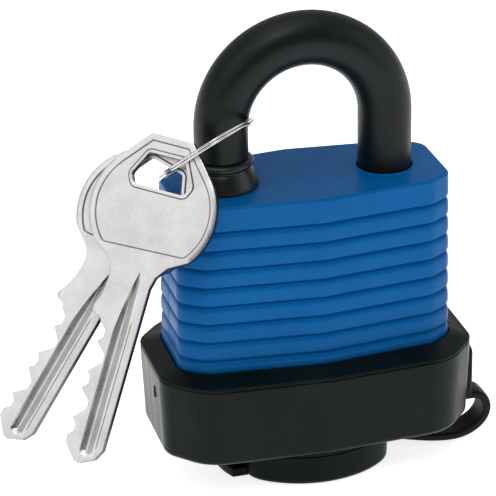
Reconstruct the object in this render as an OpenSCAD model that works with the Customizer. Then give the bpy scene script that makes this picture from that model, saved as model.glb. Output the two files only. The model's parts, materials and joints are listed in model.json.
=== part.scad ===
// Weather-resistant laminated padlock: ribbed plastic cover, rubber base bumper,
// sleeved shackle, tethered keyway cap, pin-tumbler cylinder and two keys on a split ring.
// Frame: +Z up along the shackle legs, +X towards the heel leg, -Y is the front.
// Origin: centre of the flat underside of the keyway cap, on which the lock stands.

/* [Body cover] */
// Width of the cover across its side flats
cover_w = 48.4; // [48:0.1:49]
// Height of the cover's top face above the standing face
cover_top = 53.1; // [53:0.1:53.3]
// Wall of the cover
cover_wall = 1.85; // [1.6:0.05:1.85]
// Number of grooves round the cover
groove_count = 8; // [4:1:8]
// Depth of one groove
groove_depth = 0.7; // [0.3:0.1:0.9]

/* [Base bumper] */
// Width of the bumper across its side flats
bumper_w = 56; // [55.4:0.1:57]
// Height of the bumper's underside above the standing face
bumper_z0 = 7; // [6.9:0.1:7.2]
// Height of the bumper's top rim
bumper_z1 = 22.5; // [21:0.1:22.9]

/* [Shackle] */
// Diameter of the shackle's steel
shackle_d = 8; // [7.8:0.1:8]
// Distance between the centre lines of the two legs
leg_pitch = 28.8; // [28.4:0.1:29]
// Height of the centre of the bow's arc
arc_z = 63.2; // [62:0.1:66]
// Thickness of the vinyl sleeve on the shackle
sleeve_t = 0.6; // [0.4:0.05:0.6]

/* [Laminated body] */
// Number of steel plates in the stack
plate_count = 14; // [14:1:14]
// Height from one plate to the next
plate_pitch = 3; // [3:0.01:3]
// Gap left between neighbouring plates
plate_gap = 0.04; // [0.02:0.01:0.06]

/* [Cylinder] */
// Radius of the turning plug
plug_r = 5.5; // [5.5:0.05:5.55]
// Number of pin stacks
pin_count = 5; // [3:1:5]
// Distance between pin stacks
pin_pitch = 4; // [3.9:0.05:4]

/* [Keys] */
// Thickness of a key
key_t = 1.6; // [1.4:0.05:1.6]
// Width of a key's blade
blade_w = 6.6; // [6.2:0.1:6.8]
// Lean of the keys out from the upright
key_lean = 31; // [30:1:32]
// Turn of the keys' faces towards the toe side
key_yaw = 30; // [29:1:31]

/* [Hidden] */
$fn = 48;
seam = 0.02;

// Body plan: half width, straight side half length, shoulder point and middle of the front
plan_side = 7;
plan_shoulder = [20, 9.95];
plan_front = 12;

// Heights of the inner pieces
body_z0 = 9.4;
cover_z0 = 20;
bumper_pocket_z = 20;
cap_rim_z = 6.8;
toe_z = 40;
heel_z = 24;
neck_z0 = 27;
neck_z1 = 50.6;
clip_z = 48.5;
seal_z1 = 58.05;
sleeve_heel_z = 53.2;

leg_x = leg_pitch / 2;
steel_r = shackle_d / 2;
leg_bore_r = steel_r + 0.3;
neck_r = 3.1;
running = 0.05;

// Grooves round the cover
groove_first = 4.7;
groove_pitch = 3.38;
groove_w = 0.9;

// Cylinder
plug_y = -2.6;
plug_z0 = 10.2;
plug_z1 = 37.9;
shell_r = 6.6;
bible_w = 5.6;
bible_y1 = 9.4;
pin_r = 1.35;
pin_z0 = 14.4;
keyway_w = 2;
keyway_y0 = -3.95;
spine_y = -3.9;
shear_low = 5.3;
shear_high = 5.58;
driver_len = 2.7;

// Tail cam, latch and the eccentric pin that joins them
cam_r = 4.6;
cam_z0 = 39.4;
cam_z1 = 41.4;
cam_pin_r = 0.9;
cam_throw = 2;
cam_start = 30;
latch_z0 = 42.7;
latch_z1 = 45.1;
latch_tip = -9.9;
latch_tail = 3.2;
latch_half_w = 3;
chamber_x1 = 6.6;

// Split ring: centre, mean radius and the way its plane lies
ring_c = [-17.33, -1.84, 60.5];
ring_r = 9.2;
ring_section = [0.9, 0.9];
ring_tilt = 38.83;
ring_turn = 130.1;
ring_right = [0.883, -0.018, 0.467];
ring_front = [-0.238, -0.877, 0.416];

// Keys: angle round the ring of each key, its turn in its own plane, and where the ring passes
key_ring_at = [136, 153];
key_turn = [9.5, 24.3];
key_ring_point = [[1.1, -4.9], [0.1, -4.6]];
key_face = [-sin(key_yaw) * cos(key_lean), -cos(key_yaw) * cos(key_lean), sin(key_lean)];
key_spacing = 1.95;
bow_r = 10.85;
bow_y = -12.3;
bow_top_half = 3.65;
blade_right = 3.2;
blade_tip_y = -55.4;
shoulder_y = -29.9;
cut_depths = [1.3, 2.3, 1.0, 1.9, 0.8];

// Strap: centre line in the plane y = strap_y, as three Bezier spans
strap_y = -3.5;
strap_w = 5;
strap_t = 1.4;
strap_hinge = [29.25, 8.85];
strap_spans = [
    [strap_hinge, [31, 8.85], [32.1, 7.6], [32.1, 6]],
    [[32.1, 6], [32.1, 3.4], [29.2, 1.15], [25.5, 1.15]],
    [[25.5, 1.15], [21.3, 1.15], [17.5, 2.6], [13.2, 3.4]]
];
strap_steps = 8;

function plate_name(i) = str("plate_", i < 10 ? "0" : "", i);
function plate_z(i) = body_z0 + plate_pitch * (i - 1);
function key_axis_point(i) = ring_c + ring_r * (cos(key_ring_at[i]) * ring_right
    + sin(key_ring_at[i]) * ring_front);
// The second key lies behind the first, on a parallel plane
function key_origin(i) = i == 0 ? key_axis_point(0)
    : key_axis_point(1) + key_face * (-key_spacing - (key_axis_point(1) - key_axis_point(0)) * key_face);

// Where two lines a.p = c meet
function meet(a, c, b, d) = [c * b[1] - d * a[1], a[0] * d - b[0] * c] / (a[0] * b[1] - a[1] * b[0]);
function unit(v) = v / norm(v);
function normal_of(p, q) = unit([q[1] - p[1], p[0] - q[0]]);

// One quarter of a body plan, inset all round by d
function quarter(hw, side, shoulder, front, d) =
    let (a = [1, 0], b = normal_of([shoulder[0], -shoulder[1]], [hw, -side]),
         c = normal_of([0, -front], [shoulder[0], -shoulder[1]]),
         cb = b * [hw, -side] - d, cc = c * [0, -front] - d,
         p = meet(a, hw - d, b, cb), q = meet(b, cb, c, cc), r = meet(c, cc, [1, 0], 0))
    [[p[0], -p[1]], [q[0], -q[1]], [r[0], -r[1]]];

// Rounds every corner of a closed outline with an arc of radius r
function corner_arc(a, b, c, r, n) =
    let (u = unit(a - b), v = unit(c - b), half = acos(u * v) / 2, reach = r / tan(half),
         centre = b + unit(u + v) * r / sin(half), p = b + u * reach - centre, q = b + v * reach - centre,
         turn = atan2(p[0] * q[1] - p[1] * q[0], p * q))
    [for (i = [0 : n]) centre + [cos(turn * i / n) * p[0] - sin(turn * i / n) * p[1],
                                 sin(turn * i / n) * p[0] + cos(turn * i / n) * p[1]]];
function rounded(pts, radii, n = 5) = [for (i = [0 : len(pts) - 1])
    each radii[i] <= 0 ? [pts[i]]
        : corner_arc(pts[(i + len(pts) - 1) % len(pts)], pts[i], pts[(i + 1) % len(pts)], radii[i], n)];

// A full symmetric body plan from its quarter: side, shoulder and front corners
function body_plan(hw, side, shoulder, front, d, r_side, r_shoulder) =
    let (q = quarter(hw, side, shoulder, front, d), p = q[0], s = q[1], f = q[2])
    rounded([[p[0], -p[1]], p, s, f, [-s[0], s[1]], [-p[0], p[1]], [-p[0], -p[1]],
             [-s[0], -s[1]], [f[0], -f[1]], [s[0], -s[1]]],
            [r_side, r_side, r_shoulder, 0, r_shoulder, r_side, r_side, r_shoulder, 0, r_shoulder], 4);
function cover_plan(d) = body_plan(cover_w / 2, plan_side, plan_shoulder, plan_front, d, 3.4, 3.4);
function bumper_plan(d) = body_plan(bumper_w / 2, 8.2, [22, 15], 16.4, d, 5, 5);

function bezier(p, t) = p[0] * pow(1 - t, 3) + p[1] * 3 * t * pow(1 - t, 2)
    + p[2] * 3 * t * t * (1 - t) + p[3] * pow(t, 3);
function strap_line() = concat([for (s = strap_spans) for (i = [0 : strap_steps - 1])
    bezier(s, i / strap_steps)], [strap_spans[2][3]]);
function strap_side(line, d) = [for (i = [0 : len(line) - 1])
    let (a = line[max(0, i - 1)], b = line[min(len(line) - 1, i + 1)]) line[i] + d * normal_of(a, b)];
function reversed(v) = [for (i = [len(v) - 1 : -1 : 0]) v[i]];

module slab(points, z0, z1) { translate([0, 0, z0]) linear_extrude(z1 - z0) polygon(points); }
module at_leg(side) { translate([side * leg_x, 0, 0]) children(); }
module at_plug() { translate([0, plug_y, 0]) children(); }
module disc(r, z0, z1) { translate([0, 0, z0]) cylinder(r = r, h = z1 - z0); }
module along_y(y0, y1) { translate([0, y0, 0]) rotate([-90, 0, 0]) linear_extrude(y1 - y0) children(); }

// A coil spring along Z: a wire of radius w round a helix of radius r
module coil(r, w, h, turns, per_turn = 14, sides = 6) {
    n = turns * per_turn;
    ring = function (i) let (a = 360 * i / per_turn, z = w + (h - 2 * w) * i / n)
        [for (k = [0 : sides - 1]) let (b = 360 * k / sides)
            [(r + w * cos(b)) * cos(a), (r + w * cos(b)) * sin(a), z + w * sin(b)]];
    polyhedron(
        points = [for (i = [0 : n]) each ring(i)],
        faces = concat(
            [[for (k = [0 : sides - 1]) k]],
            [for (i = [0 : n - 1]) for (k = [0 : sides - 1])
                let (a = i * sides + k, b = i * sides + (k + 1) % sides) [a, a + sides, b + sides, b]],
            [[for (k = [sides - 1 : -1 : 0]) n * sides + k]]));
}

// ---- covers and rubber parts ----

module body_cover() color("royalblue") difference() {
    slab(cover_plan(0), cover_z0, cover_top);
    slab(cover_plan(cover_wall), cover_z0 - 1, cover_top - 1.6);
    for (i = [0 : groove_count - 1])
        translate([0, 0, cover_top - groove_first - groove_w / 2 - i * groove_pitch])
            difference() {
                linear_extrude(groove_w) polygon(cover_plan(-1));
                translate([0, 0, -1]) linear_extrude(groove_w + 2) polygon(cover_plan(groove_depth));
            }
    at_leg(-1) disc(5.4, cover_top - 3, cover_top + 1);
    at_leg(1) disc(steel_r + 0.4, cover_top - 3, cover_top + 1);
}

module base_bumper() color([0.13, 0.14, 0.14]) difference() {
    slab(bumper_plan(0), bumper_z0, bumper_z1);
    slab(cover_plan(cover_wall), body_z0, bumper_z1 + 1);
    slab(cover_plan(-0.02), bumper_pocket_z, bumper_z1 + 1);
    disc(8, bumper_z0 - 1, body_z0 + 1);
    // Small moulding slot in the toe side
    translate([-bumper_w / 2 - 1, -3.2, 16]) cube([1.7, 0.9, 2.2]);
    // Socket for the peg of the strap anchor
    translate([bumper_w / 2 - 3, strap_y, 15]) rotate([0, 90, 0]) cylinder(r = 1.5, h = 4);
}

module keyway_cap() color([0.09, 0.1, 0.1]) {
    intersection() {
        translate([0, 4, 0]) cylinder(r = 17.8, h = cap_rim_z, $fn = 96);
        translate([0, -4, 0]) cylinder(r = 17.8, h = cap_rim_z, $fn = 96);
        translate([-13.3, -20, 0]) cube([26.6, 40, cap_rim_z]);
    }
    disc(7.5, cap_rim_z - 0.5, 9);
    // Finger tab
    intersection() {
        translate([-2, 0, 0]) cylinder(r = 15, h = 2.1, $fn = 96);
        translate([-18, -6.8, 0]) cube([8, 13.6, 2.1]);
    }
}

module cap_strap() color([0.12, 0.13, 0.13]) difference() {
    line = strap_line();
    translate([0, strap_y + strap_w / 2, 0]) rotate([90, 0, 0]) linear_extrude(strap_w)
        polygon(concat(strap_side(line, strap_t / 2), reversed(strap_side(line, -strap_t / 2))));
    // The strap meets the cap's side face to face
    translate([13.3 - 2, -20, 0]) cube([2, 40, 8]);
}

module strap_anchor() color([0.1, 0.11, 0.11]) {
    translate([bumper_w / 2, strap_y - 3, 11.2]) cube([1, 6, 7.6]);
    translate([bumper_w / 2 - 2.9, strap_y, 15]) rotate([0, 90, 0]) cylinder(r = 1.48, h = 3);
}

module toe_seal() color([0.1, 0.1, 0.11]) at_leg(-1) rotate_extrude() polygon([
    [steel_r + running, 51.6], [5.38, 51.6], [5.38, cover_top], [6.25, cover_top], [6.15, 53.9],
    [5.25, 55.9], [4.9, 56.1], [4.9, 56.5], [5.3, 56.7], [5.45, 57.0], [5.35, 57.4], [5.05, 57.7],
    [4.95, seal_z1], [steel_r + running, seal_z1]]);

// ---- shackle ----

module shackle() color("silver") difference() {
    union() {
        at_leg(-1) rotate_extrude() polygon([[0, toe_z], [steel_r - 0.8, toe_z],
            [steel_r, toe_z + 0.8], [steel_r, arc_z], [0, arc_z]]);
        at_leg(1) rotate_extrude() polygon([[0, heel_z], [steel_r - 0.5, heel_z], [steel_r, heel_z + 0.5],
            [steel_r, neck_z0], [neck_r, neck_z0], [neck_r, neck_z1], [steel_r, neck_z1],
            [steel_r, arc_z], [0, arc_z]]);
        translate([0, 0, arc_z]) rotate([90, 0, 0]) rotate_extrude(angle = 180)
            translate([leg_x, 0]) circle(steel_r);
    }
    // Notch for the locking latch, on the inner side of the toe leg
    translate([-leg_x + steel_r - 1.6, -5, 42.3]) cube([3, 10, 3.2]);
}

module sleeve_section() difference() { circle(steel_r + sleeve_t); circle(steel_r + seam); }

module shackle_sleeve() color([0.1, 0.11, 0.11]) {
    at_leg(-1) translate([0, 0, seal_z1 + seam]) linear_extrude(arc_z - seal_z1 - seam) sleeve_section();
    at_leg(1) translate([0, 0, sleeve_heel_z]) linear_extrude(arc_z - sleeve_heel_z) sleeve_section();
    translate([0, 0, arc_z]) rotate([90, 0, 0]) rotate_extrude(angle = 180)
        translate([leg_x, 0]) sleeve_section();
}

module shackle_spring() color("gainsboro")
    at_leg(1) translate([0, 0, body_z0 + plate_pitch]) coil(3.3, 0.55, heel_z - body_z0 - plate_pitch - 0.1, 5);

module heel_retainer() color("dimgray") at_leg(1) difference() {
    disc(5.5, clip_z, clip_z + 1.9);
    disc(neck_r + 0.1, clip_z - 1, clip_z + 3);
    translate([-2.2, 0, clip_z - 1]) cube([4.4, 8, 4]);
}

// ---- laminated body ----

// Every hole through the stack, each over the heights that need it
module body_holes() {
    at_leg(1) disc(leg_bore_r, plate_z(2), cover_top);
    at_leg(1) disc(5.6, plate_z(14) - 0.01, cover_top);
    at_leg(-1) disc(leg_bore_r, plate_z(11), cover_top);
    at_plug() disc(plug_r + 0.1, body_z0 - 1, plate_z(2));
    at_plug() disc(shell_r + running, plate_z(2), plate_z(11));
    translate([-bible_w / 2 - running, plug_y, plate_z(2)])
        cube([bible_w + 2 * running, bible_y1 + running - plug_y, plate_z(11) - plate_z(2)]);
    at_plug() disc(cam_r + 0.3, plate_z(11) - 0.01, plate_z(12));
    translate([-leg_x, -latch_half_w - running, plate_z(12)])
        cube([leg_x + chamber_x1, 2 * latch_half_w + 2 * running, plate_pitch]);
    for (x = [-1, 1], y = [-1, 1]) translate([x * 19.7, y * 5, 0]) disc(1.52, body_z0 - 1, cover_top);
}

module plate(i) color(i % 2 == 0 ? "slategray" : "lightslategray") difference() {
    slab(cover_plan(cover_wall + 0.1), plate_z(i), plate_z(i) + plate_pitch - plate_gap);
    body_holes();
}

module body_rivets() color("silver") for (x = [-1, 1], y = [-1, 1])
    translate([x * 19.7, y * 5, 0]) disc(1.5, body_z0, plate_z(15));

// ---- cylinder ----

module pin_row(y0, y1, r = pin_r) for (i = [0 : pin_count - 1])
    translate([0, 0, pin_z0 + pin_pitch * i]) along_y(y0, y1) circle(r);

module cylinder_shell() color("goldenrod") at_plug() difference() {
    union() {
        disc(shell_r, plate_z(2) + 0.1, plug_z1 - 0.1);
        translate([-bible_w / 2, 0, plate_z(2) + 0.1])
            cube([bible_w, bible_y1 - plug_y, plug_z1 - plate_z(2) - 0.2]);
    }
    disc(plug_r + running, 0, 60);
    pin_row(plug_r - 1, bible_y1 - plug_y - 0.65, pin_r + running);
}

module cylinder_plug() color("darkgoldenrod") at_plug() difference() {
    union() {
        disc(plug_r, plug_z0, plug_z1);
        disc(4.2, plug_z1 - 0.5, cam_z0);
    }
    // Keyway, with a ward that steps it
    translate([-keyway_w / 2, keyway_y0, plug_z0 - 1]) cube([keyway_w, 6.9, 33.2 - plug_z0]);
    pin_row(-1.5, plug_r + 1, pin_r + running);
}

module key_pins() color("khaki") at_plug() for (i = [0 : pin_count - 1])
    translate([0, 0, pin_z0 + pin_pitch * i])
        along_y(spine_y + blade_w - cut_depths[i], shear_low) circle(pin_r);

module driver_pins() color("khaki") at_plug() pin_row(shear_high, shear_high + driver_len);

module pin_springs() color("gainsboro") at_plug() for (i = [0 : pin_count - 1])
    translate([0, shear_high + driver_len + 0.05, pin_z0 + pin_pitch * i])
        rotate([-90, 0, 0]) coil(0.95, 0.2, 2.9, 4, 8, 4);

module plug_clip() color("dimgray") at_plug() difference() {
    disc(6.3, plug_z1 + 0.1, plug_z1 + 1);
    disc(4.25, plug_z1 - 1, plug_z1 + 2);
    translate([-3, 0, plug_z1 - 1]) cube([6, 8, 3]);
}

module tail_cam() color("silver") at_plug() {
    disc(cam_r, cam_z0, cam_z1);
    rotate([0, 0, -cam_start]) translate([0, cam_throw, 0]) disc(cam_pin_r, cam_z1 - 0.5, latch_z1 - 0.1);
}

module locking_latch() color("lightgray") difference() {
    union() {
        translate([latch_tip + 1.2, -latch_half_w, latch_z0])
            cube([latch_tail - latch_tip - 1.2, 2 * latch_half_w, latch_z1 - latch_z0]);
        // Bevelled nose
        translate([0, 0, latch_z0]) linear_extrude(latch_z1 - latch_z0) polygon([
            [latch_tip + 1.3, -latch_half_w], [latch_tip + 1.3, latch_half_w],
            [latch_tip, latch_half_w - 1.4], [latch_tip, -latch_half_w + 1.4]]);
    }
    // Cross slot that the cam's pin works in
    translate([cam_throw * sin(cam_start) - cam_pin_r - 0.1, plug_y + 0.55, latch_z0 - 1])
        cube([2 * cam_pin_r + 0.2, 2.9, 4]);
}

module latch_spring() color("gainsboro")
    translate([latch_tail + 0.05, 0, (latch_z0 + latch_z1) / 2]) rotate([0, 90, 0])
        coil(0.85, 0.2, chamber_x1 - latch_tail - 0.1, 5, 8, 4);

// ---- keys and ring ----

module split_ring() color("whitesmoke") translate(ring_c) rotate([0, ring_tilt, ring_turn])
    rotate_extrude($fn = 96) let (w = ring_section[0] / 2, h = ring_section[1] / 2, g = 0.06)
        translate([ring_r, 0]) polygon([[-w, -h], [w, -h], [w, -g], [w - 0.3, 0], [w, g], [w, h],
                                        [-w, h], [-w, g], [-w + 0.3, 0], [-w, -g]]);

// Points on the bow's circle, from angle a to angle b
function bow_arc(a, b, n = 14) = [for (i = [0 : n]) let (t = a + (b - a) * i / n)
    [bow_r * cos(t), bow_y + bow_r * sin(t)]];

module key_outline() difference() {
    // The flat top's sloping sides run tangent to the bow
    tangent = atan2(-bow_y, bow_top_half) - acos(bow_r / norm([bow_top_half, bow_y]));
    left = blade_right - blade_w;
    polygon(concat([[bow_top_half, 0]], bow_arc(tangent, -40),
        [[5.2, -21], [3.7, -23], [blade_right, -25], [blade_right, -52.4], [2.2, -54.2],
         [-0.3, blade_tip_y], [-1.2, -55.2], [left, -52.6]],
        // Bitting, from the tip up
        [for (i = [len(cut_depths) - 1 : -1 : 0]) let (d = cut_depths[i], y = shoulder_y - pin_pitch * (i + 1),
            below = i == len(cut_depths) - 1 ? 0 : cut_depths[i + 1], above = i == 0 ? 0 : cut_depths[i - 1])
            each [[left + peak(d, below), y - 0.6 - d + peak(d, below)], [left + d, y - 0.6],
                  [left + d, y + 0.6], [left + peak(d, above), y + 0.6 + d - peak(d, above)]]],
        [[left, -31.4], [-5.2, -30.6], [-5.2, shoulder_y], [-4.3, -27.5], [-4, -24], [-4.6, -22],
         [-6, -20.8]],
        bow_arc(220, 180 - tangent), [[-bow_top_half, 0]]));
    // Hole for the ring
    polygon([[-3.1, -3.2], [3.1, -3.2], [5.1, -7.2], [4.4, -8.8], [-4.4, -8.8], [-5.1, -7.2]]);
}

// How far two neighbouring 45 degree cuts of depths a and b eat into the peak between them
function peak(a, b) = max(0, (a + b + 1.2 - pin_pitch) / 2);

module key(i) color("whitesmoke") translate(key_origin(i)) rotate([90 - key_lean, 0, -key_yaw])
    rotate([0, 0, -key_turn[i]]) translate([-key_ring_point[i][0], -key_ring_point[i][1], 0]) difference() {
        translate([0, 0, -key_t / 2]) linear_extrude(key_t) key_outline();
        // Milled groove along each face of the blade
        translate([0.3, blade_tip_y - 1, key_t / 2 - 0.55]) cube([1.3, 29, 2]);
        translate([-0.9, blade_tip_y - 1, -key_t / 2 - 1.45]) cube([1.1, 29, 2]);
    }

body_cover();
base_bumper();
keyway_cap();
cap_strap();
strap_anchor();
toe_seal();
shackle();
shackle_sleeve();
shackle_spring();
heel_retainer();
for (i = [1 : plate_count]) plate(i);
body_rivets();
cylinder_shell();
cylinder_plug();
key_pins();
driver_pins();
pin_springs();
plug_clip();
tail_cam();
locking_latch();
latch_spring();
split_ring();
key(0);  // key_1
key(1);  // key_2
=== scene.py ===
import json
import math

import bmesh
import bpy
from mathutils import Matrix, Vector


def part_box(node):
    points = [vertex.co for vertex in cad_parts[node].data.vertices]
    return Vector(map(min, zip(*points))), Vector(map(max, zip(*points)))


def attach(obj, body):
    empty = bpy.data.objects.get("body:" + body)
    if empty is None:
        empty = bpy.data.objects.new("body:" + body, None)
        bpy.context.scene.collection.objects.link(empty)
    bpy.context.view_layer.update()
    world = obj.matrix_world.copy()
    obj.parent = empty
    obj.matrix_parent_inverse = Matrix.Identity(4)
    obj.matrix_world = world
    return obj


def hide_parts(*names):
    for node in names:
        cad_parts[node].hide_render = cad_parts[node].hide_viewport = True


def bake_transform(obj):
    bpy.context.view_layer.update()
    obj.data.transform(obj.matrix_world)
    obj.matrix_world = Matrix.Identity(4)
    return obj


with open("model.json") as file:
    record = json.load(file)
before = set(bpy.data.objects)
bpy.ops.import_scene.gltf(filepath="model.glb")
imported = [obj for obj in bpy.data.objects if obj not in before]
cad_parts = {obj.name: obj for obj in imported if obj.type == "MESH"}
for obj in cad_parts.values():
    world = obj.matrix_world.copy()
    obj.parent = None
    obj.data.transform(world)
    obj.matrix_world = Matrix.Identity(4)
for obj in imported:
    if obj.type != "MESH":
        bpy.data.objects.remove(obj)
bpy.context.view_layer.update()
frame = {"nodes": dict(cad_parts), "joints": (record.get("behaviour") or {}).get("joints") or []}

MM = 0.001
JOINTS = {joint["name"]: joint for joint in frame["joints"]}


def box_mm(node):
    """A CAD node's lowest and highest corners at rest, in millimetres."""
    low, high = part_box(node)
    return low / MM, high / MM


# places and sizes that the frame gives, in millimetres
SLEEVE_MAX = box_mm("shackle_sleeve")[1]
SLEEVE_R = SLEEVE_MAX.y
LEG_X = SLEEVE_MAX.x - SLEEVE_R
SHACKLE_MAX = box_mm("shackle")[1]
ARC_Z = SHACKLE_MAX.z - SHACKLE_MAX.x
COVER_MIN, COVER_MAX = box_mm("body_cover")
BUMPER_MIN, BUMPER_MAX = box_mm("base_bumper")
PAD_MIN, PAD_MAX = box_mm("strap_anchor")
SEAL_MIN, SEAL_MAX = box_mm("toe_seal")
CAP_MAX = box_mm("keyway_cap")[1]
STRAP_MIN, STRAP_MAX = box_mm("cap_strap")
RING_MIN, RING_MAX = box_mm("split_ring")


# ---------------------------------------------------------------- small geometry helpers

def arc(centre, radius, start, end, steps):
    """Points of an arc in a plane, angles in degrees."""
    return [
        (centre[0] + radius * math.cos(math.radians(start + (end - start) * i / steps)),
         centre[1] + radius * math.sin(math.radians(start + (end - start) * i / steps)))
        for i in range(steps + 1)
    ]


def lerp(a, b, t):
    return tuple(p + (q - p) * t for p, q in zip(a, b))


def bezier(p, t):
    u = 1 - t
    return tuple(
        p[0][k] * u ** 3 + 3 * p[1][k] * u * u * t + 3 * p[2][k] * u * t * t + p[3][k] * t ** 3
        for k in range(len(p[0]))
    )


def line_through(p, q, inset):
    """The line from p to q as (normal, distance), moved to its left by inset."""
    dx, dy = q[0] - p[0], q[1] - p[1]
    size = math.hypot(dx, dy)
    n = (-dy / size, dx / size)
    return n, n[0] * p[0] + n[1] * p[1] + inset


def meet(first, second):
    (a, c), (b, d) = first, second
    det = a[0] * b[1] - a[1] * b[0]
    return (c * b[1] - d * a[1]) / det, (a[0] * d - b[0] * c) / det


def round_corner(a, b, c, radius, steps):
    """The corner b of a path a-b-c as an arc."""
    u = Vector((a[0] - b[0], a[1] - b[1])).normalized()
    v = Vector((c[0] - b[0], c[1] - b[1])).normalized()
    half = u.angle(v) / 2
    reach = radius / math.tan(half)
    centre = Vector(b) + (u + v).normalized() * radius / math.sin(half)
    p = Vector(b) + u * reach - centre
    q = Vector(b) + v * reach - centre
    turn = math.atan2(p.x * q.y - p.y * q.x, p.dot(q))
    out = []
    for i in range(steps + 1):
        s, k = math.sin(turn * i / steps), math.cos(turn * i / steps)
        out.append((centre.x + k * p.x - s * p.y, centre.y + s * p.x + k * p.y))
    return out


def round_loop(points, radii, steps=4):
    """Rounds the corners of a closed outline; a radius of 0 keeps the corner sharp."""
    n, out = len(points), []
    for i, r in enumerate(radii):
        if r <= 0:
            out.append(points[i])
        else:
            out += round_corner(points[i - 1], points[i], points[(i + 1) % n], r, steps)
    return out


def inset_loop(points, d):
    """A counter-clockwise outline moved inwards by d."""
    out, n = [], len(points)
    for i in range(n):
        a, b, c = Vector(points[i - 1]), Vector(points[i]), Vector(points[(i + 1) % n])
        n1, n2 = (b - a).normalized(), (c - b).normalized()
        n1, n2 = Vector((-n1.y, n1.x)), Vector((-n2.y, n2.x))
        move = (n1 + n2) / max(0.35, 1 + n1.dot(n2))
        out.append(tuple(b + move * d))
    return out


def at_z(points, z):
    return [(p[0], p[1], z) for p in points]


def circle(cx, cy, r, n=64):
    return [(cx + r * math.cos(2 * math.pi * i / n), cy + r * math.sin(2 * math.pi * i / n))
            for i in range(n)]


def plan(half, side, shoulder, front, inset, corner, apex, seam=0.0, shoulder_r=None):
    """The six-sided body plan seen from above, counter-clockwise from the front middle."""
    p, q, f = (half, -side), shoulder, (0.0, -front)
    middle = ((1.0, 0.0), half - inset)
    flank = line_through(q, p, inset)
    face = line_through(f, q, inset)
    P, Q = meet(middle, flank), meet(flank, face)
    F = (0.0, face[1] / face[0][1])
    loop = [F, Q, P, (P[0], -P[1]), (Q[0], -Q[1]), (0.0, -F[1]),
            (-Q[0], -Q[1]), (-P[0], -P[1]), (-P[0], P[1]), (-Q[0], Q[1])]
    radius = max(0.4, corner - inset)
    wide = max(0.4, (shoulder_r or corner) - inset)
    out = []
    for i, b in enumerate(loop):
        a, c = loop[i - 1], loop[(i + 1) % 10]
        r = apex if i in (0, 5) else wide if i in (1, 4, 6, 9) else radius
        out += round_corner(a, b, c, r, 8)
        if i in (2, 7):  # the parting line of the mould runs down the middle of each side
            x = b[0]
            s = math.copysign(1, x)
            out += [(x, -0.2 * s), (x - seam * s, 0.0), (x, 0.2 * s)]
    return out


def cover_plan(inset, seam=0.0):
    return plan(COVER_MAX.x, 7, (20, -9.95), COVER_MAX.y, inset, 3.4, 3.0, seam)


def bumper_plan(inset, seam=0.0):
    return plan(BUMPER_MAX.x, 8.2, (22, -15), BUMPER_MAX.y, inset, 5, 4.0, seam, 9)


class Build:
    """Collects loops of points, in millimetres, into one closed mesh."""

    def __init__(self):
        self.bm = bmesh.new()

    def loop(self, points):
        return [self.bm.verts.new(Vector(p) * MM) for p in points]

    def strip(self, a, b, closed=True):
        n = len(a)
        for i in range(n if closed else n - 1):
            j = (i + 1) % n
            self.bm.faces.new((a[i], a[j], b[j], b[i]))

    def loft(self, rings):
        loops = [self.loop(r) for r in rings]
        for a, b in zip(loops, loops[1:]):
            self.strip(a, b)
        return loops

    def fill(self, *loops):
        edges = []
        for ring in loops:
            for i, vert in enumerate(ring):
                pair = (vert, ring[(i + 1) % len(ring)])
                edges.append(self.bm.edges.get(pair) or self.bm.edges.new(pair))
        bmesh.ops.triangle_fill(self.bm, use_beauty=True, use_dissolve=False, edges=edges)

    def tube(self, rings):
        """A closed solid lofted through rings, both ends capped."""
        loops = self.loft(rings)
        self.bm.faces.new(loops[0])
        self.bm.faces.new(loops[-1])
        return loops

    def torus(self, rings):
        """A loft whose last ring joins its first."""
        loops = self.loft(rings)
        self.strip(loops[-1], loops[0])

    def piece(self, name, material, body, stands_for=(), matrix=None, sharp=38, ride=True):
        bm = self.bm
        bmesh.ops.recalc_face_normals(bm, faces=bm.faces)
        if matrix is not None:
            bm.transform(matrix)
        mesh = bpy.data.meshes.new(name)
        bm.to_mesh(mesh)
        bm.free()
        mesh.shade_smooth()
        mesh.set_sharp_from_angle(angle=math.radians(sharp))
        mesh.materials.append(material)
        obj = bpy.data.objects.new(name, mesh)
        bpy.context.scene.collection.objects.link(obj)
        weighted = obj.modifiers.new("weighted", "WEIGHTED_NORMAL")
        weighted.keep_sharp = True
        if ride:
            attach(obj, body)
        if stands_for:
            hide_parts(*stands_for)
        return obj


# ---------------------------------------------------------------- materials

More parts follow.
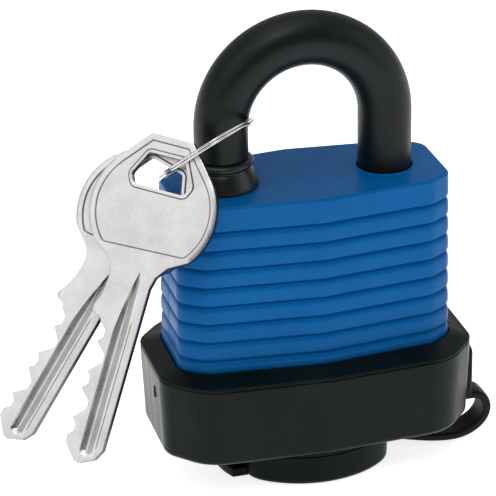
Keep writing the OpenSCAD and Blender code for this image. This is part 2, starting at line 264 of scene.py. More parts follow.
class Shader:
    """A procedural material built on one Principled shader, in the object's own coordinates."""

    def __init__(self, name, **inputs):
        self.mat = bpy.data.materials.new(name)
        self.mat.use_nodes = True
        self.tree = self.mat.node_tree
        self.tree.nodes.clear()
        self.out = self.tree.nodes.new("ShaderNodeOutputMaterial")
        self.bsdf = self.tree.nodes.new("ShaderNodeBsdfPrincipled")
        self.tree.links.new(self.bsdf.outputs[0], self.out.inputs[0])
        self.coords = self.tree.nodes.new("ShaderNodeTexCoord").outputs["Object"]
        self.normal = None
        for key, value in inputs.items():
            self.bsdf.inputs[key.replace("_", " ")].default_value = value

    def link(self, a, b):
        self.tree.links.new(a, b)

    def mapped(self, stretch=(1, 1, 1), turn=(0, 0, 0)):
        node = self.tree.nodes.new("ShaderNodeMapping")
        node.inputs["Scale"].default_value = stretch
        node.inputs["Rotation"].default_value = [math.radians(t) for t in turn]
        self.link(self.coords, node.inputs["Vector"])
        return node.outputs[0]

    def noise(self, per_mm, detail=3, rough=0.55, stretch=(1, 1, 1), turn=(0, 0, 0)):
        node = self.tree.nodes.new("ShaderNodeTexNoise")
        node.inputs["Scale"].default_value = per_mm * 1000
        node.inputs["Detail"].default_value = detail
        node.inputs["Roughness"].default_value = rough
        self.link(self.mapped(stretch, turn), node.inputs["Vector"])
        return node.outputs["Fac"]

    def ramp(self, value, low, high, out_low=0.0, out_high=1.0):
        node = self.tree.nodes.new("ShaderNodeMapRange")
        for key, number in (("From Min", low), ("From Max", high),
                            ("To Min", out_low), ("To Max", out_high)):
            node.inputs[key].default_value = number
        self.link(value, node.inputs["Value"])
        return node.outputs["Result"]

    def mix(self, value, first, second):
        node = self.tree.nodes.new("ShaderNodeMix")
        node.data_type = "RGBA"
        for source, socket in ((first, node.inputs[6]), (second, node.inputs[7])):
            if isinstance(source, tuple):
                socket.default_value = (*source, 1)
            else:
                self.link(source, socket)
        self.link(value, node.inputs[0])
        return node.outputs[2]

    def maths(self, how, a, b):
        node = self.tree.nodes.new("ShaderNodeMath")
        node.operation = how
        for source, socket in ((a, node.inputs[0]), (b, node.inputs[1])):
            if isinstance(source, (int, float)):
                socket.default_value = source
            else:
                self.link(source, socket)
        return node.outputs[0]

    def colour(self, value):
        self.link(value, self.bsdf.inputs["Base Color"])
        return self

    def rough(self, value, low=0.3, high=0.7, out_low=0.3, out_high=0.5):
        self.link(self.ramp(value, low, high, out_low, out_high), self.bsdf.inputs["Roughness"])
        return self

    def bump(self, value, depth_mm):
        node = self.tree.nodes.new("ShaderNodeBump")
        node.inputs["Distance"].default_value = depth_mm * MM
        node.inputs["Strength"].default_value = 1.0
        self.link(value, node.inputs["Height"])
        if self.normal is not None:
            self.link(self.normal, node.inputs["Normal"])
        self.normal = node.outputs[0]
        self.link(self.normal, self.bsdf.inputs["Normal"])
        return self


def cover_plastic():
    s = Shader("moulded_blue_plastic", Specular_IOR_Level=0.05, Coat_Weight=0.08,
               Coat_Roughness=0.16)
    broad, flow = s.noise(0.05, 2), s.noise(0.35, 4, stretch=(1, 1, 0.25))
    base = s.mix(s.ramp(broad, 0.3, 0.7), (0.0003, 0.102, 0.325), (0.0006, 0.120, 0.37))
    base = s.mix(s.ramp(flow, 0.35, 0.75, 0, 0.35), base, (0.0003, 0.090, 0.30))
    specks = s.noise(6, 2)
    s.colour(s.mix(s.ramp(specks, 0.62, 0.78, 0, 0.3), base, (0.02, 0.17, 0.52)))
    s.rough(flow, 0.3, 0.75, 0.30, 0.42)
    s.bump(s.noise(0.12, 2), 0.05).bump(s.noise(7, 3), 0.006).bump(s.noise(0.7, 3), 0.012)
    return s.mat


def black_rubber(name, dark, light, rough=(0.22, 0.34), streak=(1, 1, 0.12), grain=0.008,
                 spec=0.11):
    s = Shader(name, Specular_IOR_Level=spec, Sheen_Weight=0.03, Sheen_Roughness=0.22)
    bloom, streaks = s.noise(0.09, 3), s.noise(0.5, 4, stretch=streak)
    base = s.mix(s.ramp(bloom, 0.35, 0.7), dark, light)
    dust = s.noise(3.2, 5, 0.7)
    base = s.mix(s.ramp(dust, 0.64, 0.8, 0, 0.35), base, tuple(3.2 * c + 0.012 for c in light))
    s.colour(base)
    s.rough(s.maths("ADD", s.maths("MULTIPLY", streaks, 0.6), s.maths("MULTIPLY", bloom, 0.4)),
            0.35, 0.65, *rough)
    return s.bump(streaks, 0.02).bump(s.noise(9, 3), grain).bump(s.noise(0.25, 3), 0.05).mat


def sleeve_vinyl():
    s = Shader("dipped_black_vinyl", Specular_IOR_Level=0.2, Coat_Weight=0.05, Coat_Roughness=0.25)
    broad, fine = s.noise(0.07, 3), s.noise(1.1, 4)
    base = s.mix(s.ramp(broad, 0.35, 0.7), (0.0024, 0.0052, 0.005), (0.0045, 0.0085, 0.008))
    s.colour(s.mix(s.ramp(fine, 0.66, 0.8, 0, 0.4), base, (0.03, 0.028, 0.027)))
    s.rough(fine, 0.3, 0.75, 0.34, 0.46)
    return s.bump(s.noise(0.18, 2), 0.06).bump(fine, 0.012).bump(s.noise(8, 3), 0.006).mat


# the keys' flat faces look along the axis that each key turns about
KEY_FACE = JOINTS["key_1_swing"]["axis"]


def nickel():
    """Satin nickel plate, with painted shade: the walls round the key's edge are coloured near
    black, darker than the rolled faces.
    """
    s = Shader("satin_nickel_plate", Metallic=1.0, Specular_IOR_Level=0.5)
    cloud, peel = s.noise(0.22, 4), s.noise(3.4, 5, 0.65)
    base = s.mix(s.ramp(cloud, 0.3, 0.7), (0.66, 0.64, 0.635), (0.80, 0.785, 0.785))
    base = s.mix(s.ramp(peel, 0.48, 0.72, 0, 0.45), base, (0.50, 0.48, 0.475))
    tarnish = s.noise(0.11, 5, 0.6)
    base = s.mix(s.ramp(tarnish, 0.58, 0.8, 0, 0.2), base, (0.50, 0.43, 0.39))
    normal = s.tree.nodes.new("ShaderNodeTexCoord").outputs["Normal"]
    dot = s.tree.nodes.new("ShaderNodeVectorMath")
    dot.operation = "DOT_PRODUCT"
    dot.inputs[1].default_value = KEY_FACE
    s.link(normal, dot.inputs[0])
    facing = s.maths("ABSOLUTE", dot.outputs["Value"], 0)
    # painted shade: surfaces whose normal lies across the key's face are mixed to near-black metal
    edge = s.ramp(facing, 0.2, 0.66, 1, 0)
    s.colour(s.mix(edge, base, (0.07, 0.062, 0.06)))
    s.rough(s.maths("ADD", s.maths("MULTIPLY", cloud, 0.5), s.maths("MULTIPLY", peel, 0.5)),
            0.38, 0.62, 0.26, 0.34)
    scratches = s.noise(1.4, 6, 0.7, stretch=(1, 0.06, 1), turn=(0, 0, 33))
    return s.bump(peel, 0.016).bump(scratches, 0.006).bump(s.noise(11, 2), 0.004).mat


def metal(name, dark, light, rough, brush=(1, 1, 1), depth=0.006, stain=(0.2, 0.18, 0.15),
          scale=1.5):
    s = Shader(name, Metallic=1.0)
    cloud, grain = s.noise(0.15, 4), s.noise(scale, 5, 0.65, stretch=brush)
    base = s.mix(s.ramp(cloud, 0.3, 0.7), dark, light)
    base = s.mix(s.ramp(grain, 0.45, 0.75, 0, 0.35), base, tuple(0.7 * c for c in dark))
    s.colour(s.mix(s.ramp(s.noise(0.4, 6, 0.7), 0.62, 0.8, 0, 0.5), base, stain))
    s.rough(grain, 0.3, 0.7, *rough)
    return s.bump(grain, depth).bump(s.noise(6, 3), depth / 2).mat


MATERIALS = {
    "cover_plastic": cover_plastic(),
    "bumper_rubber": black_rubber("bumper_rubber", (0.002, 0.0055, 0.0048),
                                  (0.0045, 0.0095, 0.0085)),
    "cap_rubber": black_rubber("cap_rubber", (0.001, 0.0042, 0.0038), (0.003, 0.0075, 0.007),
                               rough=(0.3, 0.42), spec=0.08),
    "strap_rubber": black_rubber("strap_rubber", (0.004, 0.005, 0.005), (0.010, 0.0115, 0.0115),
                                 rough=(0.32, 0.46), streak=(0.15, 1, 1)),
    "seal_rubber": black_rubber("seal_rubber", (0.005, 0.009, 0.009), (0.010, 0.016, 0.016),
                                rough=(0.3, 0.42), grain=0.005, spec=0.5),
    "sleeve_vinyl": sleeve_vinyl(),
    "shackle_steel": metal("hardened_shackle_steel", (0.50, 0.50, 0.51), (0.66, 0.66, 0.66),
                           (0.16, 0.3), (1, 1, 0.2), 0.004),
    "plate_steel": metal("blanked_plate_steel", (0.30, 0.31, 0.32), (0.44, 0.45, 0.46),
                         (0.34, 0.52), (0.15, 1, 1), 0.01, (0.19, 0.14, 0.1)),
    "rivet_steel": metal("rivet_steel", (0.42, 0.42, 0.42), (0.56, 0.56, 0.55), (0.25, 0.4)),
    "cylinder_brass": metal("turned_cylinder_brass", (0.56, 0.40, 0.15), (0.74, 0.56, 0.25),
                            (0.2, 0.34), (1, 1, 6), 0.005, (0.3, 0.2, 0.08)),
    "pin_brass": metal("pin_brass", (0.62, 0.45, 0.19), (0.80, 0.62, 0.30), (0.15, 0.28)),
    "spring_steel": metal("spring_wire", (0.50, 0.50, 0.50), (0.68, 0.68, 0.67), (0.18, 0.3)),
    "latch_steel": metal("latch_steel", (0.40, 0.41, 0.42), (0.54, 0.55, 0.56), (0.28, 0.42),
                         (0.2, 1, 1)),
    "ring_steel": metal("polished_ring_steel", (0.66, 0.66, 0.67), (0.84, 0.84, 0.84),
                        (0.08, 0.2), (1, 1, 1), 0.003, (0.4, 0.38, 0.34), 2.5),
    "key_metal": nickel(),
}


# ---------------------------------------------------------------- body cover

COVER_TOP, COVER_LOW, COVER_BASE = COVER_MAX.z, 23.0, COVER_MIN.z
COVER_WALL, COVER_CEILING = 1.85, COVER_TOP - 1.6
GROOVES, GROOVE_FIRST, GROOVE_PITCH = 8, 4.7, 3.38
# height above a groove's middle, and how far in the surface is there
GROOVE = [(1.2, -0.02), (0.66, 0.0), (0.52, 0.03), (0.44, 0.11), (0.38, 0.36), (0.28, 0.58),
          (0.12, 0.64), (-0.02, 0.54), (-0.16, 0.38), (-0.34, 0.22), (-0.56, 0.10), (-0.82, 0.03),
          (-1.1, 0.0), (-1.6, -0.02)]


def draft(z):
    return 0.2 - 0.35 * (COVER_TOP - max(z, COVER_LOW)) / (COVER_TOP - COVER_LOW)


def make_cover():
    edge = 0.5
    stations = [(COVER_TOP - edge + edge * math.sin(math.radians(a)),
                 edge * (1 - math.cos(math.radians(a)))) for a in (90, 70, 50, 30, 12, 0)]
    for i in range(GROOVES):
        middle = COVER_TOP - GROOVE_FIRST - GROOVE_PITCH * i
        stations += [(middle + dz, d) for dz, d in GROOVE]
    stations += [(COVER_LOW, 0.0), (COVER_BASE, 0.0)]
    b = Build()
    outer = b.loft([at_z(cover_plan(d + draft(z), 0.14), z) for z, d in stations])
    inner = b.loft([at_z(cover_plan(COVER_WALL), z) for z in (COVER_BASE, COVER_CEILING)])
    b.strip(outer[-1], inner[0])
    toe = b.loft([at_z(circle(-LEG_X, 0, r), z) for r, z in
                  ((5.6, COVER_TOP), (5.45, COVER_TOP - 0.12), (5.4, COVER_CEILING))])
    heel = b.loft([at_z(circle(LEG_X, 0, r), z) for r, z in
                   ((5.3, COVER_TOP), (5.24, COVER_TOP + 0.08), (5.12, COVER_TOP + 0.14),
                    (4.96, COVER_TOP + 0.13), (4.82, COVER_TOP + 0.04), (4.72, COVER_TOP - 0.2),
                    (4.7, COVER_TOP - 0.5), (4.7, COVER_CEILING))])
    b.fill(outer[0], toe[0], heel[0])
    b.fill(inner[-1], toe[-1], heel[-1])
    return b.piece("ribbed_cover", MATERIALS["cover_plastic"], "lock_body",
                   ["body_cover"], sharp=50)


# ---------------------------------------------------------------- rubber bumper

def make_bumper():
    bottom, fillet = BUMPER_MIN.z, 1.1
    profile = [(bottom + fillet * (1 - math.sin(math.radians(a))),
                0.5 + fillet * (1 - math.cos(math.radians(a)))) for a in (90, 72, 54, 36, 18, 0)]
    profile += [(11.5, 0.40), (15.0, 0.25), (18.5, 0.1), (20.9, 0.02), (21.2, 0.02),
                (21.32, 0.05), (21.4, 0.17), (21.5, 0.19), (21.58, 0.08), (21.68, 0.0),
                (21.86, 0.03), (21.99, 0.16), (22.06, 0.38), (22.1, 0.75)]
    b = Build()
    rings = [at_z(bumper_plan(d), z) for z, d in profile]
    lip = at_z(cover_plan(-0.62), 22.86)
    start = rings[-1]
    rings += [[lerp(p, q, t) for p, q in zip(start, lip)] for t in (0.15, 0.35, 0.6, 0.82, 1.0)]
    rings += [at_z(cover_plan(-d), z) for d, z in
              ((0.48, 22.9), (0.36, 22.84), (0.3, 22.66), (0.28, 22.2), (0.22, COVER_BASE - 0.02))]
    rings += [at_z(cover_plan(COVER_WALL + 0.05), z) for z in (COVER_BASE - 0.02, 9.4)]
    loops = b.loft(rings)
    keyway = b.loft([at_z(circle(0, 0, 8), z) for z in (bottom, bottom + 0.15, 9.4)])
    b.fill(loops[0], keyway[0])
    b.fill(loops[-1], keyway[-1])
    return b.piece("rubber_bumper", MATERIALS["bumper_rubber"], "lock_body",
                   ["base_bumper"], sharp=50)


def make_slot_mark():
    """The small raised mark on the left side of the bumper, long up and down."""
    b = Build()
    outline = []
    for i in range(40):
        a = 2 * math.pi * i / 40
        r = 0.62 + 0.55 * abs(math.sin(a)) ** 3
        outline.append((-2.8 + 0.62 * r * math.cos(a), 17.1 + r * math.sin(a)))
    rings = []
    for d, out in ((0.0, -0.4), (0.0, -0.07), (0.06, 0.0), (0.2, 0.03), (0.3, -0.04)):
        x = BUMPER_MIN.x - out
        rings.append([(x, p[0], p[1]) for p in inset_loop(outline, d)])
    b.tube(rings)
    return b.piece("bumper_mark", MATERIALS["bumper_rubber"], "lock_body")


def make_anchor():
    """The pad that holds the strap: a rounded plate on the right side of the bumper."""
    back, front, foot, top = PAD_MIN.y, PAD_MAX.y, 8.7, PAD_MAX.z
    outline = round_loop([(back, foot), (front, foot), (front, top), (back, top)],
                         [0.7, 0.7, 1.6, 1.6], 5)
    b = Build()
    rings = []
    for d, out in ((0.0, -2.0), (0.0, -0.55), (0.08, -0.28), (0.25, -0.08), (0.5, 0.0)):
        rings.append([(PAD_MAX.x + out, p[0], p[1]) for p in inset_loop(outline, d)])
    b.tube(rings)
    # a low rib round the edge of the pad
    rib = []
    for d, out in ((0.6, -0.1), (0.66, 0.08), (0.8, 0.14), (0.95, 0.08), (1.0, -0.1)):
        rib.append([(PAD_MAX.x + out, p[0], p[1]) for p in inset_loop(outline, d)])
    b.torus(rib)
    return b.piece("strap_pad", MATERIALS["strap_rubber"], "lock_body",
                   ["strap_anchor"])


# ---------------------------------------------------------------- keyway cap and its strap

def cap_outline(inset, n=144):
    """Two bowed sides between two flat ends, blended smoothly where they meet."""
    out = []
    for i in range(n):
        a = 2 * math.pi * (i + 0.5) / n
        c, s = abs(math.cos(a)), abs(math.sin(a))
        flat = CAP_MAX.x / max(c, 1e-4)
        bow = -4 * s + math.sqrt(17.8 ** 2 - 16 * c * c)
        r = (flat ** -18 + bow ** -18) ** (-1 / 18) - inset
        out.append((r * math.cos(a), r * math.sin(a)))
    return out


def make_cap():
    b = Build()
    fillet = 1.2
    profile = [(fillet * (1 - math.sin(math.radians(a))),
                fillet * (1 - math.cos(math.radians(a))) + 0.1) for a in (90, 72, 54, 36, 18, 0)]
    profile += [(3.2, 0.05), (5.3, 0.0), (5.5, 0.02), (5.58, 0.16), (5.68, 0.18), (5.76, 0.06),
                (6.3, 0.03), (6.6, 0.12), (6.74, 0.3), (6.8, 0.6)]
    loops = b.loft([at_z(cap_outline(d), z) for z, d in profile])
    b.bm.faces.new(loops[0])
    boss = b.loft([at_z(circle(0, 0, r, 96), z) for r, z in
                   ((7.7, 6.8), (7.5, 6.95), (7.5, 8.6), (7.4, 8.85), (7.15, 8.97), (6.9, 9.0))])
    b.fill(loops[-1], boss[0])
    b.bm.faces.new(boss[-1])
    return b.piece("rubber_cap", MATERIALS["cap_rubber"], "cap", ["keyway_cap"],
                   sharp=50)


def make_tab():
    outline = [(-10.5, 6.8)] + arc((-2, 0), 15, 180 - 26.9, 180 + 26.9, 24) + [(-10.5, -6.8)]
    b = Build()
    b.tube([at_z(inset_loop(outline, d), z) for d, z in
            ((0.55, 0.0), (0.25, 0.07), (0.07, 0.25), (0.0, 0.55), (0.0, 1.5), (0.1, 1.85),
             (0.3, 2.04), (0.6, 2.1))])
    return b.piece("cap_pull_tab", MATERIALS["cap_rubber"], "cap")


def strap_centre():
    """The middle line of the strap seen from the front, from the pad down and in to the cap."""
    spans = [
        [(28.0, 8.85), (28.5, 8.85), (28.9, 8.85), (29.25, 8.85)],
        [(29.25, 8.85), (31, 8.85), (32.1, 7.6), (32.1, 6)],
        [(32.1, 6), (32.1, 3.4), (29.2, 1.15), (25.5, 1.15)],
        [(25.5, 1.15), (21.3, 1.15), (17.5, 2.6), (12.4, 3.6)],
    ]
    points = []
    for k, span in enumerate(spans):
        steps = (4, 14, 20, 20)[k]
        points += [bezier(span, i / steps) for i in range(steps)]
    return points + [spans[-1][3]]


def make_strap():
    line = strap_centre()
    half_w, half_t, bow = (STRAP_MAX.y - STRAP_MIN.y) / 2, 0.68, 0.12
    middle_y = (STRAP_MAX.y + STRAP_MIN.y) / 2
    section = round_loop([(-half_w, -half_t), (half_w, -half_t), (half_w, half_t),
                          (-half_w, half_t)], [0.42] * 4, 5)
    dense = []
    for i, p in enumerate(section):
        q = section[(i + 1) % len(section)]
        parts = 8 if abs(q[0] - p[0]) > 1 else 1
        dense += [lerp(p, q, j / parts) for j in range(parts)]
    rings = []
    for i, p in enumerate(line):
        a, c = line[max(0, i - 1)], line[min(len(line) - 1, i + 1)]
        t = Vector((c[0] - a[0], c[1] - a[1])).normalized()
        n = Vector((-t.y, t.x))
        ring = []
        for y, v in dense:
            swell = bow * (1 - (y / half_w) ** 2) * (1 if v > 0 else -0.3)
            ring.append((p[0] + n.x * (v + swell), middle_y + y, p[1] + n.y * (v + swell)))
        rings.append(ring)
    b = Build()
    b.tube(rings)
    strap = b.piece("cap_strap_band", MATERIALS["strap_rubber"], "cap",
                    ["cap_strap"], ride=False, sharp=60)
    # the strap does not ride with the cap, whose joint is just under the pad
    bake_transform(strap)
    return strap


# ---------------------------------------------------------------- shackle sleeve and seal

SLEEVE_TOE, SLEEVE_HEEL = 58.07, 52.2
SLEEVE_BORE = 4.02


def make_sleeve():
    path = []
    for i in range(9):
        path.append(((-LEG_X, SLEEVE_TOE + (ARC_Z - SLEEVE_TOE) * i / 9), 180.0))
    for i in range(73):
        a = 180 - 180 * i / 72
        x, z = LEG_X * math.cos(math.radians(a)), ARC_Z + LEG_X * math.sin(math.radians(a))
        path.append(((x, z), a))
    for i in range(1, 19):
        path.append(((LEG_X, ARC_Z + (SLEEVE_HEEL - ARC_Z) * i / 18), 0.0))

    def ring(place, radius, along=0.0):
        (x, z), a = place
        out = []
        for i in range(56):
            t = 2 * math.pi * i / 56
            u = radius * math.cos(t)
            out.append((x + u * math.cos(math.radians(a)), radius * math.sin(t),
                        z + u * math.sin(math.radians(a)) + along))
        return out

    # the cut ends are rounded from the bore to the outside
    lips = ((SLEEVE_BORE, 0.0), (SLEEVE_R - 0.3, 0.0), (SLEEVE_R - 0.1, 0.06), (SLEEVE_R, 0.25))
    b = Build()
    rings = [ring(path[0], r, z) for r, z in lips]
    rings += [ring(p, SLEEVE_R) for p in path[1:-1]]
    rings += [ring(path[-1], r, z) for r, z in reversed(lips)]
    rings += [ring(p, SLEEVE_BORE) for p in reversed(path[1:-1])]
    b.torus(rings)
    return b.piece("vinyl_sleeve", MATERIALS["sleeve_vinyl"], "shackle",
                   ["shackle_sleeve"])


def make_seal():
    low, high = SEAL_MIN.z, SEAL_MAX.z
    profile = [(4.05, low), (5.3, low), (5.36, low + 0.1), (5.36, COVER_TOP), (6.1, COVER_TOP),
               (6.26, 53.16),
               (6.3, 53.3), (6.25, 53.6), (6.12, 54.0), (5.94, 54.5), (5.74, 55.0), (5.54, 55.5),
               (5.34, 55.95), (5.14, 56.22), (4.98, 56.4), (4.92, 56.6), (4.96, 56.78),
               (5.12, 56.9), (5.32, 56.98), (5.45, 57.12), (5.5, 57.3), (5.47, 57.52),
               (5.37, 57.72), (5.22, 57.86), (5.06, 57.96), (4.9, 58.03), (4.76, high),
               (4.05, high)]
    rings = [[(-LEG_X + r * math.cos(a), r * math.sin(a), z)
              for a in (2 * math.pi * i / 72 for i in range(72))] for r, z in profile]
    b = Build()
    b.torus(rings)
    return b.piece("toe_seal_boot", MATERIALS["seal_rubber"], "lock_body",
                   ["toe_seal"], sharp=50)


# ---------------------------------------------------------------- split ring

RING_CENTRE = (RING_MIN + RING_MAX) / 2
# the ring lies in the plane of these two, and its own joint turns it about the second
RING_RIGHT = Vector((0.883, -0.018, 0.467)).normalized()
RING_FRONT = -Vector(JOINTS["ring_swing"]["axis"]).normalized()
RING_AXIS = RING_RIGHT.cross(RING_FRONT).normalized()


def make_ring():
    start, turns, crossing = 352.0, 1.86, 46.0
    steps, radius = 190, 9.2
    half_w, half_t = 0.39, 0.19  # of the wire, which is a little thinner than in the CAD
    section = round_loop([(-half_w, -half_t), (half_w, -half_t), (half_w, half_t),
                          (-half_w, half_t)], [0.15] * 4, 3)
    rings = []
    for i in range(steps + 1):
        a = start + 360 * turns * i / steps
        # one strand lies above the other, and they change places behind the leg
        t = min(1, max(0, (a - (start + 180 * turns) + crossing / 2) / crossing))
        lift = -0.24 + 0.48 * t * t * (3 - 2 * t)
        end = min(1.0, min(i, steps - i) / 3)
        size = 0.55 + 0.45 * math.sin(end * math.pi / 2)
        out = RING_RIGHT * math.cos(math.radians(a)) + RING_FRONT * math.sin(math.radians(a))
        centre = RING_CENTRE + out * radius + RING_AXIS * lift
        rings.append([tuple(centre + out * p[0] * size + RING_AXIS * p[1] * size)
                      for p in section])
    b = Build()
    b.tube(rings)
    return b.piece("coiled_split_ring", MATERIALS["ring_steel"], "ring",
                   ["split_ring"])


# ---------------------------------------------------------------- keys

# a key is drawn flat, bow at the top, and its top edge lies on y = 0
KEY_HALF = 0.8
KEY_EDGE = 0.13
KEY_SPIN, KEY_LEAN = -30, 59
BOW = (0.0, -12.3)
# the bitting: how far down the blade each cut is, and how deep
CUTS = [(-49.9, 0.8), (-45.9, 1.9), (-41.9, 1.0), (-37.9, 2.3), (-33.9, 1.3)]


def key_outline():
    """Counter-clockwise, from the top left of the bow."""
    left = [(-3.65, 0.0)] + arc(BOW, 10.85, 138.8, 220, 26)
    left += [(-6.0, -20.8), (-5.1, -21.5), (-4.5, -22.4), (-4.15, -23.6), (-4.05, -25.0),
             (-4.2, -26.6), (-4.55, -28.2), (-5.1, -29.5), (-5.28, -30.0), (-5.3, -30.5),
             (-5.1, -30.95), (-4.7, -31.2), (-4.1, -31.3), (-3.7, -31.45), (-3.4, -31.8)]
    teeth = []
    for i, (y, depth) in enumerate(CUTS):
        below = CUTS[i - 1][1] if i else None
        above = CUTS[i + 1][1] if i + 1 < len(CUTS) else None
        low = max(0, (depth + below + 1.2 - 4) / 2) if below is not None else 0
        high = max(0, (depth + above + 1.2 - 4) / 2) if above is not None else 0
        if low == 0:
            teeth.append((-3.4, y - 0.6 - depth))
        teeth += [(-3.4 + depth, y - 0.6), (-3.4 + depth, y + 0.6),
                  (-3.4 + high, y + 0.6 + depth - high)]
    tip = [(-3.4, -52.6), (-1.2, -55.2), (-0.3, -55.4), (2.2, -54.2), (3.2, -52.4)]
    right = [(3.2, -25.0), (3.7, -23.0), (5.2, -21.0)]
    right += arc(BOW, 10.85, -40, 41.2, 26) + [(3.65, 0.0)]
    teeth = round_loop(teeth, [0] + [0.22] * (len(teeth) - 2) + [0], 2)
    return left + teeth[::-1] + tip + right


def key_panel():
    """The hairline border on each face of the bow."""
    left, right = arc(BOW, 9.85, 139, 226.5, 24), arc(BOW, 9.85, -41.5, 41, 24)
    radii = [0] * 25 + [1.1, 1.1] + [0] * 25
    return round_loop([(-3.2, -1.0)] + left + right + [(3.2, -1.0)], radii, 4)


def key_hole(grow=0.0):
    corners = [(3.1, -3.2), (-3.1, -3.2), (-5.1, -7.2), (-4.4, -8.8), (4.4, -8.8), (5.1, -7.2)]
    return inset_loop(round_loop(corners, [0.7, 0.7, 0.8, 0.8, 0.8, 0.8], 4), -grow)


def groove_line(x, y_top, y_end, width):
    """A slot with round ends along the blade."""
    r = width / 2
    return arc((x, y_top - r), r, 0, 180, 6) + arc((x, y_end + r), r, 180, 360, 6)


def run_out(x0, x1, y_top, y_full, y_end):
    """A channel milled along the blade: it starts at a point, widens to the left as the cutter
    goes in, and ends round near the tip."""
    r = min(0.8, (x1 - x0) / 2)
    peak = (x1 - 0.25 * (x1 - x0), y_top)
    left = [lerp(peak, (x0, y_full), t) for t in (0.0, 0.2, 0.4, 0.6, 0.8)]
    left = [(x - 0.07 * (x1 - x0) * math.sin(math.pi * i / 5), y) for i, (x, y) in enumerate(left)]
    left += [(x0, y_full + (y_end + r - y_full) * i / 6) for i in range(6)]
    bottom = arc((x0 + r, y_end + r), r, 180, 270, 4) + arc((x1 - r, y_end + r), r, 270, 360, 4)
    right = [(x1, y_end + r + (y_full - y_end) * i / 6) for i in range(1, 7)]
    return left + bottom + right + [(x1 - 0.04 * (x1 - x0), y_top - 1.6)]


def make_key(name, number, body, phi, ring_point):
    """A key turned by phi in its own plane, hung from the ring by ring_point."""
    b = Build()
    outline = key_outline()
    inner = inset_loop(outline, KEY_EDGE)
    front, back = {}, {}
    for side, store in ((1, front), (-1, back)):
        top = KEY_HALF * side
        face = b.loop(at_z(inner, top))
        mid = b.loop(at_z(inset_loop(outline, KEY_EDGE * 0.3), top - 0.05 * side))
        rim = b.loop(at_z(outline, top - KEY_EDGE * side))
        b.strip(face, mid)
        b.strip(mid, rim)
        panel = b.loft([at_z(inset_loop(key_panel(), d), top - z * side)
                        for d, z in ((0.0, 0.0), (0.03, 0.03), (0.14, 0.32), (0.26, 0.2))])
        lip = b.loft([at_z(key_hole(g), top - z * side)
                      for g, z in ((0.74, 0.2), (0.62, 0.32), (0.52, 0.03), (0.48, 0.0))])
        mouth = b.loft([at_z(key_hole(g), top - z * side)
                        for g, z in ((0.1, 0.0), (0.03, 0.03), (0.0, 0.1))])
        b.fill(panel[-1], lip[0])
        b.fill(lip[-1], mouth[0])
        if side > 0:
            cuts = [
                [(run_out(x0, x1, -22.4 - 2.2 * z, -33.0, -53.9 + 1.6 * z), z) for x0, x1, z in
                 ((-0.75, 1.5, 0.0), (-0.69, 1.26, 0.12), (-0.6, 1.02, 0.22), (-0.2, 0.72, 0.34),
                  (0.22, 0.44, 0.46))],
                [(groove_line(1.95, -31.2, -52.4, w), z)
                 for w, z in ((0.2, 0.0), (0.14, 0.1), (0.08, 0.16))],
            ]
        else:
            cuts = [[(groove_line(-0.55, -24.6, -53.2, w), z)
                     for w, z in ((0.8, 0.0), (0.7, 0.12), (0.5, 0.34), (0.3, 0.45))]]
        holes = []
        for levels in cuts:
            loops = b.loft([at_z(path, top - z * side) for path, z in levels])
            b.fill(loops[-1])
            holes.append(loops[0])
        b.fill(face, panel[0], *holes)
        store["rim"], store["mouth"] = rim, mouth[-1]
    b.strip(front["rim"], back["rim"])
    b.strip(front["mouth"], back["mouth"])
    turn = (Matrix.Rotation(math.radians(KEY_SPIN), 4, "Z")
            @ Matrix.Rotation(math.radians(KEY_LEAN), 4, "X"))
    origin = Matrix.Translation(Vector(JOINTS[f"{number}_swing"]["pos_m"]))
    hang = Matrix.Translation(Vector((-ring_point[0], -ring_point[1], 0)) * MM)
    place = origin @ turn @ Matrix.Rotation(math.radians(-phi), 4, "Z") @ hang
    return b.piece(name, MATERIALS["key_metal"], body, [number], matrix=place,
                   sharp=30)


# ---------------------------------------------------------------- put the pieces together

make_cover()
make_bumper()
make_slot_mark()
make_anchor()
make_cap()
make_tab()
make_strap()
make_sleeve()
make_seal()
make_ring()
make_key("bow_key_front", "key_1", "key_one", 9.5, (1.1, -4.9))
make_key("bow_key_back", "key_2", "key_two", 24.3, (0.1, -4.6))

# the CAD nodes that stay, and the material of each
CAD_FINISH = {
    "shackle": "shackle_steel", "shackle_spring": "spring_steel", "heel_retainer": "latch_steel",
    "body_rivets": "rivet_steel", "cylinder_shell": "cylinder_brass",
    "cylinder_plug": "cylinder_brass",
    "key_pins": "pin_brass", "driver_pins": "pin_brass", "pin_springs": "spring_steel",
    "plug_clip": "latch_steel", "tail_cam": "latch_steel", "locking_latch": "latch_steel",
    "latch_spring": "spring_steel",
}
for node, obj in frame["nodes"].items():
    finish = "plate_steel" if node.startswith("plate_") else CAD_FINISH.get(node)
    if finish is None:
        continue
    for slot in obj.material_slots:
        slot.material = MATERIALS[finish]


# ---------------------------------------------------------------- floor, light and camera

FLOOR_HALF, FLOOR_GAP = 4.0, 0.0001


def make_floor():
    s = Shader("pale_studio_floor", Roughness=0.7, Specular_IOR_Level=0.15, Emission_Strength=0.8)
    s.bsdf.inputs["Emission Color"].default_value = (1, 1, 1, 1)
    s.colour(s.mix(s.ramp(s.noise(0.004, 2), 0.3, 0.7), (0.93, 0.93, 0.93), (0.96, 0.96, 0.96)))
    bm = bmesh.new()
    bmesh.ops.create_grid(bm, x_segments=12, y_segments=12, size=FLOOR_HALF)
    mesh = bpy.data.meshes.new("studio_floor")
    bm.to_mesh(mesh)
    bm.free()
    mesh.materials.append(s.mat)
    floor = bpy.data.objects.new("studio_floor", mesh)
    floor.location.z = -FLOOR_GAP
    bpy.context.scene.collection.objects.link(floor)


# the point that the lights aim at, and the direction of the camera from it
TARGET = Vector((-0.0101, 0, 0.04035))
TO_CAMERA = Vector((-0.238, -0.877, 0.416)).normalized()


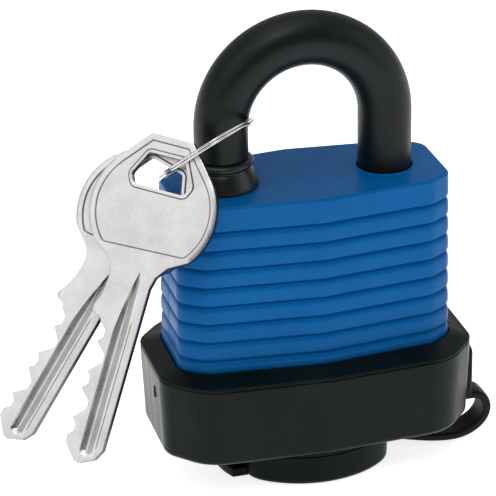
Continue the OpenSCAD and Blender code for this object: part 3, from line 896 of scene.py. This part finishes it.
def area(name, azimuth, elevation, distance, size, power):
    """A soft box; azimuth is measured from the front, positive to the right."""
    a, e = math.radians(azimuth), math.radians(elevation)
    back = Vector((math.sin(a) * math.cos(e), -math.cos(a) * math.cos(e), math.sin(e)))
    light = bpy.data.lights.new(name, "AREA")
    light.shape = "RECTANGLE"
    light.size = light.size_y = size
    light.energy = power
    obj = bpy.data.objects.new(name, light)
    obj.location = TARGET + back * distance
    obj.rotation_mode = "QUATERNION"
    obj.rotation_quaternion = (-back).to_track_quat("-Z", "Y")
    bpy.context.scene.collection.objects.link(obj)


def make_world():
    """A soft white room, darker in front of the lock."""
    world = bpy.data.worlds.new("studio")
    bpy.context.scene.world = world
    world.use_nodes = True
    tree = world.node_tree
    tree.nodes.clear()
    out = tree.nodes.new("ShaderNodeOutputWorld")
    background = tree.nodes.new("ShaderNodeBackground")
    coords = tree.nodes.new("ShaderNodeTexCoord")
    dot = tree.nodes.new("ShaderNodeVectorMath")
    dot.operation = "DOT_PRODUCT"
    dot.inputs[1].default_value = (0.05, -0.97, 0.2)
    ramp = tree.nodes.new("ShaderNodeMapRange")
    ramp.interpolation_type = "SMOOTHSTEP"
    for key, number in (("From Min", 0.2), ("From Max", 0.8), ("To Min", 0.6), ("To Max", 0.04)):
        ramp.inputs[key].default_value = number
    tree.links.new(coords.outputs["Generated"], dot.inputs[0])
    tree.links.new(dot.outputs["Value"], ramp.inputs["Value"])
    tree.links.new(ramp.outputs["Result"], background.inputs["Strength"])
    tree.links.new(background.outputs[0], out.inputs[0])


make_floor()
make_world()
area("key_softbox", -52, 36, 1.3, 1.1, 3.3)
area("fill_softbox", 62, 22, 1.3, 0.9, 2.3)
area("top_softbox", -20, 84, 1.1, 0.9, 2.6)
area("edge_softbox", -12, 60, 1.2, 0.3, 2.0)

CAMERA_DISTANCE = 0.4517
LENS, SENSOR = 191.6, 36
ROLL = math.radians(-1.0)

camera = bpy.data.cameras.new("camera")
camera.lens, camera.sensor_width = LENS, SENSOR
camera.clip_start, camera.clip_end = 0.01, 10
camera_object = bpy.data.objects.new("camera", camera)
right, up = Vector((0.965, -0.262, 0)), Vector((0.109, 0.402, 0.909))
x_axis = right * math.cos(ROLL) + up * math.sin(ROLL)
y_axis = -right * math.sin(ROLL) + up * math.cos(ROLL)
aim = TARGET + x_axis * 0.00005 + y_axis * 0.00025
turned = Matrix((x_axis, y_axis, TO_CAMERA)).transposed().to_4x4()
place = Matrix.Translation(aim + TO_CAMERA * CAMERA_DISTANCE)
camera_object.matrix_world = place @ turned
bpy.context.scene.collection.objects.link(camera_object)
bpy.context.scene.camera = camera_object
bpy.context.scene.view_settings.view_transform = "Standard"
